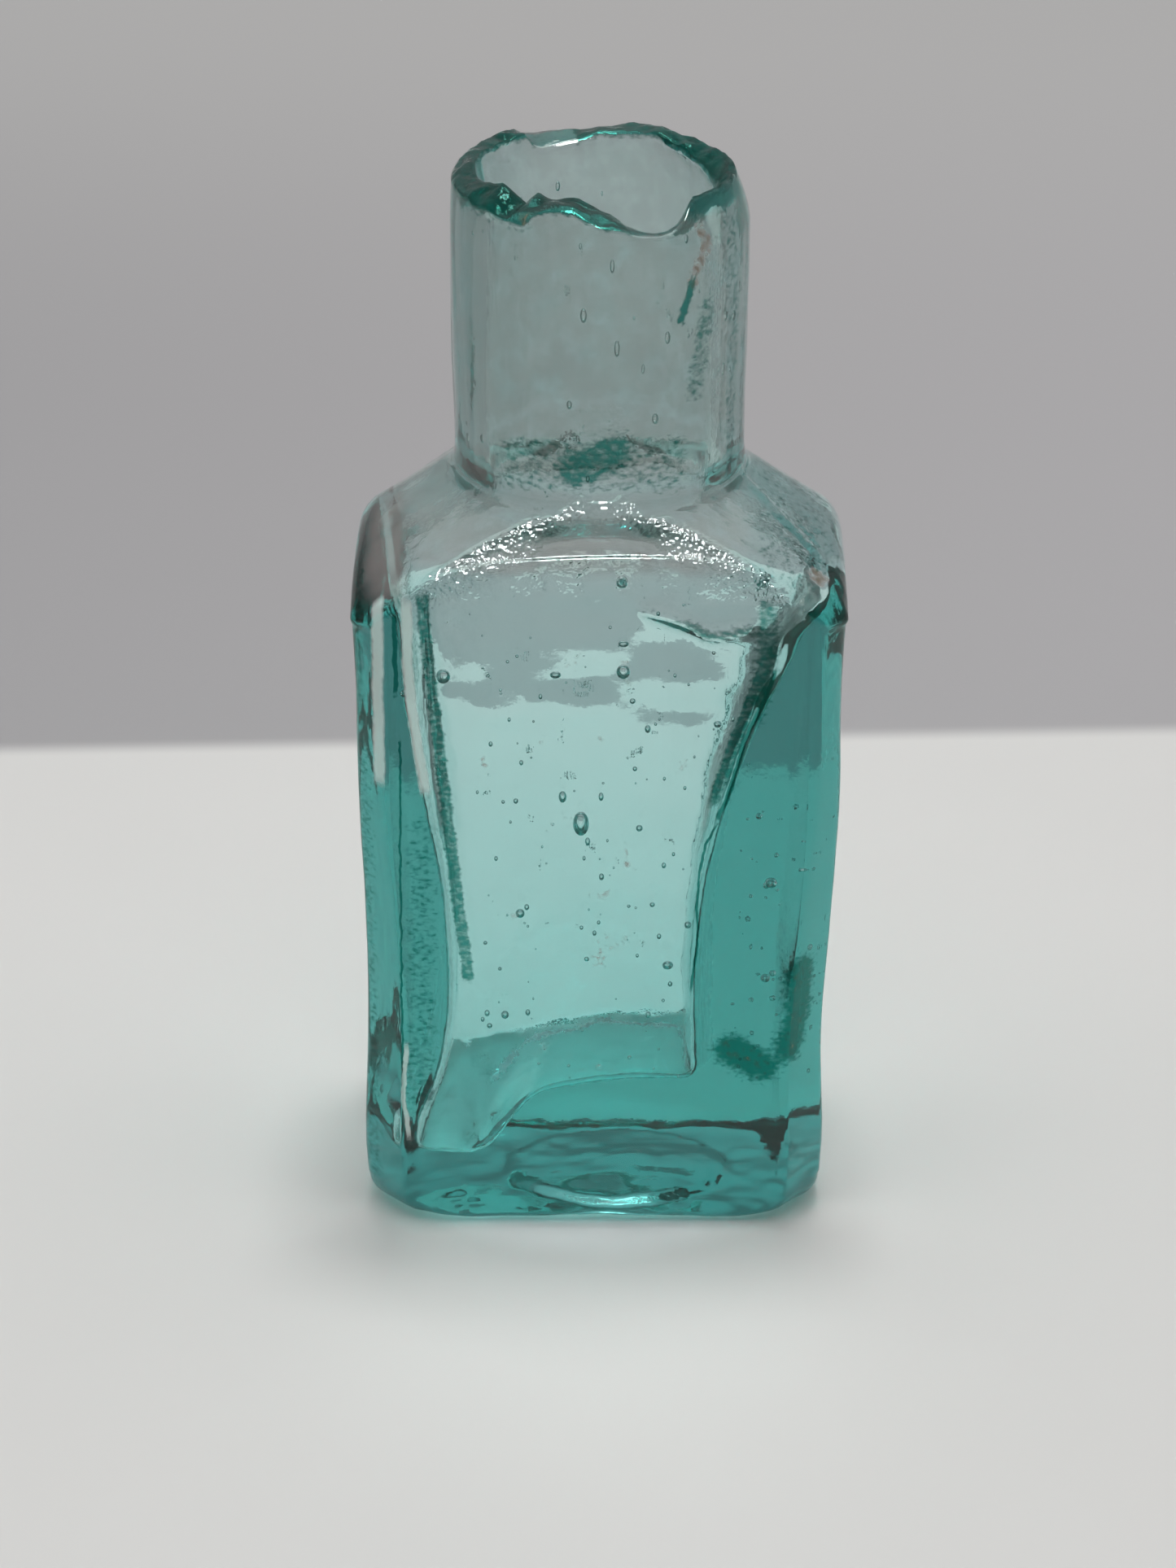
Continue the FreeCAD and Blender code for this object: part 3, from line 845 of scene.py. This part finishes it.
def aqua_glass():
    """Light aqua glass that deepens with thickness, with lime and dirt, painted shade in dark green lines and
    patches, and painted highlight lines.
    """
    shader = Shader("aqua_glass")
    relief = glass_bump(shader)
    # painted shade: the painted dark lines joined with the mask of painted dark green
    dark = shader.trails(PAINTED_SHADE_LINES, shader.mask("painted_deep_shade"))
    painted_highlight = shader.trails(PAINTED_HIGHLIGHT_LINES, 0.0)
    painted_shade = shader.patchy(dark, shader.noise(0.42, 5.0, (1, 1, 0.6)), 1.2)
    grime = shader.patchy(shader.mask("dirty"), shader.noise(0.45, 5.0), 1.0)
    haze = shader.math("MULTIPLY", shader.mask("filmed"), shader.ramp(shader.noise(1.6, 6.0), 0.05, 0.60))

    colour = shader.mix(haze, WHITE, LIME)
    # painted shade: dark green painted into the base colour
    colour = shader.mix(painted_shade, colour, PAINTED_SHADE_GREEN)
    colour = shader.mix(grime, colour, shader.mix(shader.noise(0.35, 3.0), RUST_BROWN, DARK_DIRT))
    # painted highlight: light lines painted into the colour
    colour = shader.mix(painted_highlight, colour, PAINTED_HIGHLIGHT_COLOUR)
    # painted reflection colour: reflections tinted green where the dark green shade is painted
    painted_sheen = shader.mix(painted_shade, WHITE, PAINTED_GREEN_SHEEN)
    clear = shader.math("SUBTRACT", 1.0, shader.math("MULTIPLY", grime, 0.75))
    clear = shader.math("SUBTRACT", clear, shader.math("MULTIPLY", haze, 0.18))
    # the painted highlight lets little light through, so its painted colour shows
    clear = shader.math("SUBTRACT", clear, shader.math("MULTIPLY", painted_highlight, 0.9))
    smears = shader.math("MULTIPLY", shader.ramp(shader.noise(3.0, 5.0), 0.56, 0.72), 0.05)
    rough = shader.math("ADD", smears, shader.math("MULTIPLY", grime, 0.4))

    glass = shader.node("ShaderNodeBsdfPrincipled", {
        "Base Color": colour, "Roughness": rough, "IOR": 1.5, "Transmission Weight": clear,
        "Specular Tint": painted_sheen, "Normal": relief})
    tint = shader.node("ShaderNodeVolumeAbsorption", {"Color": GLASS_TINT, "Density": TINT_PER_METRE})
    shader.node("ShaderNodeOutputMaterial", {"Surface": glass.outputs[0], "Volume": tint.outputs[0]})
    return shader.material


def table_top():
    """Off-white table, grey from a line behind the bottle on, with painted light: the grey lighter to the
    right and further back, and a painted pool of light right under the bottle.
    """
    shader = Shader("table")
    place = shader.node("ShaderNodeTexCoord").outputs["Object"]
    parts = shader.node("ShaderNodeSeparateXYZ", {0: place}).outputs
    behind_line = shader.math("MULTIPLY_ADD", parts["X"], -0.04, parts["Y"])
    # painted light: the grey is painted lighter towards the right and further back, as the light falls on it
    painted_light_to_right = shader.ramp(parts["X"], -0.12, 0.12)
    far = shader.ramp(parts["Y"], 0.13, 0.33)
    grey = shader.mix(painted_light_to_right, (0.395, 0.388, 0.392, 1), (0.470, 0.460, 0.465, 1))
    grey = shader.mix(far, grey, (0.52, 0.515, 0.505, 1))
    white = shader.mix(shader.noise(40.0, 3.0), (0.755, 0.750, 0.725, 1), (0.80, 0.79, 0.765, 1))
    away = shader.node("ShaderNodeVectorMath", {0: place}, operation="LENGTH").outputs["Value"]
    # painted light: a pool of brighter white painted right under the bottle, for light the glass gathers
    # there
    white = shader.mix(shader.ramp(away, 0.015, 0.011), white, (0.97, 0.97, 0.96, 1))
    colour = shader.mix(shader.ramp(behind_line, 0.0600, 0.0632), white, grey)
    surface = shader.node("ShaderNodeBsdfPrincipled", {
        "Base Color": colour, "Roughness": 0.65, "Specular IOR Level": 0.15})
    shader.node("ShaderNodeOutputMaterial", {"Surface": surface.outputs[0]})
    return shader.material


# ---------------------------------------------------------------- scene

def add_mesh(name, points, faces, material):
    """Smooth-shaded mesh object from points in millimetres."""
    mesh = bpy.data.meshes.new(name)
    mesh.from_pydata((np.asarray(points) * MM).tolist(), [], faces)
    mesh.polygons.foreach_set("use_smooth", np.ones(len(faces), bool))
    mesh.materials.append(material)
    mesh.update()
    obj = bpy.data.objects.new(name, mesh)
    bpy.context.scene.collection.objects.link(obj)
    return obj


def build_bottle():
    """The bottle's skin and its bubbles, as one piece that stands for the CAD's."""
    skin, faces, on_lip = bottle_skin()
    parts = [skin]
    count = len(skin)
    for bubble_points, bubble_faces in bubbles():
        faces += [tuple(index + count for index in face) for face in bubble_faces]
        parts.append(bubble_points)
        count += len(bubble_points)
    points = np.concatenate(parts)
    bottle = add_mesh("bottle_glass", points, faces, aqua_glass())
    on_lip = np.append(on_lip, np.zeros(count - len(skin)))
    mark(bottle.data, "hammered", hammered(points))
    mark(bottle.data, "ledge", ledge(points))
    mark(bottle.data, "on_lip", on_lip)
    mark(bottle.data, "painted_deep_shade", painted_deep_shade(points, on_lip))
    mark(bottle.data, "filmed", filmed(points))
    mark(bottle.data, "dirty", dirty(points))
    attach(bottle, "root")
    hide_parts(NODE)


def build_floor():
    reach = 3000
    corners = [(-reach, -reach, 0), (reach, -reach, 0), (reach, reach, 0), (-reach, reach, 0)]
    floor = add_mesh("floor", corners, [(0, 1, 2, 3)], table_top())


def build_room():
    """Even room light: grey up to the horizon, brighter overhead, darker behind the camera."""
    world = bpy.data.worlds.new("room")
    bpy.context.scene.world = world
    world.use_nodes = True
    tree = world.node_tree
    place = tree.nodes.new("ShaderNodeTexCoord")
    parts = tree.nodes.new("ShaderNodeSeparateXYZ")
    ramp = tree.nodes.new("ShaderNodeValToRGB")
    behind = tree.nodes.new("ShaderNodeMapRange")
    product = tree.nodes.new("ShaderNodeMath")
    product.operation = "MULTIPLY"
    steps = [(0.0, 0.27), (0.30, 0.30), (0.62, 0.60), (1.0, 0.80)]
    while len(ramp.color_ramp.elements) < len(steps):
        ramp.color_ramp.elements.new(0.5)
    for element, (at, level) in zip(ramp.color_ramp.elements, steps):
        element.position = at
        element.color = (level, level, level, 1)
    behind.inputs["From Min"].default_value = -0.9
    behind.inputs["From Max"].default_value = -0.2
    behind.inputs["To Min"].default_value = 0.45
    behind.inputs["To Max"].default_value = 1.0
    tree.links.new(place.outputs["Generated"], parts.inputs[0])
    tree.links.new(parts.outputs["Z"], ramp.inputs[0])
    tree.links.new(parts.outputs["Y"], behind.inputs["Value"])
    tree.links.new(ramp.outputs[0], product.inputs[0])
    tree.links.new(behind.outputs[0], product.inputs[1])
    tree.links.new(product.outputs[0], tree.nodes["Background"].inputs["Strength"])
    tree.nodes["Background"].inputs["Color"].default_value = (0.99, 0.985, 1.0, 1)


def add_lamp(name, width, length, power, place, target_height):
    """Rectangular lamp that faces a point on the bottle's axis."""
    lamp = bpy.data.lights.new(name, "AREA")
    lamp.shape = "RECTANGLE"
    lamp.size, lamp.size_y = width, length
    lamp.energy = power
    holder = bpy.data.objects.new(name, lamp)
    holder.location = place
    aim = Vector((0, 0, target_height)) - holder.location
    holder.rotation_euler = aim.to_track_quat("-Z", "Y").to_euler()
    bpy.context.scene.collection.objects.link(holder)
    return holder


def build_lamps():
    """Softbox overhead, and a panel above the camera that only shows as glints on convex edges."""
    add_lamp("softbox", 0.16, 0.12, 1.6, (0.03, 0.10, 0.72), 0.03)
    glint = add_lamp("glint", 0.5, 0.24, 18.0, (0, -0.37, 0.57), 0.04)
    glint.visible_diffuse = False
    glint.visible_transmission = False


def build_camera():
    """Near view from the front, looking 26 degrees down."""
    lens = bpy.data.cameras.new("camera")
    lens.sensor_fit = "VERTICAL"
    lens.sensor_height = 36
    lens.lens = 81.1
    lens.clip_start = 0.005
    camera = bpy.data.objects.new("camera", lens)
    camera.location = Vector((-0.68, -198.8, 123.5)) * MM
    camera.rotation_euler = (math.radians(90 - 26.1), 0, 0)
    bpy.context.scene.collection.objects.link(camera)
    bpy.context.scene.camera = camera


def set_up_render():
    scene = bpy.context.scene
    scene.view_settings.view_transform = "Standard"
    scene.cycles.max_bounces = 32
    scene.cycles.transmission_bounces = 32
    scene.cycles.glossy_bounces = 16
    scene.cycles.diffuse_bounces = 3
    scene.cycles.caustics_refractive = True
    scene.cycles.caustics_reflective = True
    scene.cycles.blur_glossy = 0.3
    scene.cycles.sample_clamp_indirect = 5.0


build_bottle()
build_floor()
build_room()
build_lamps()
build_camera()
set_up_render()
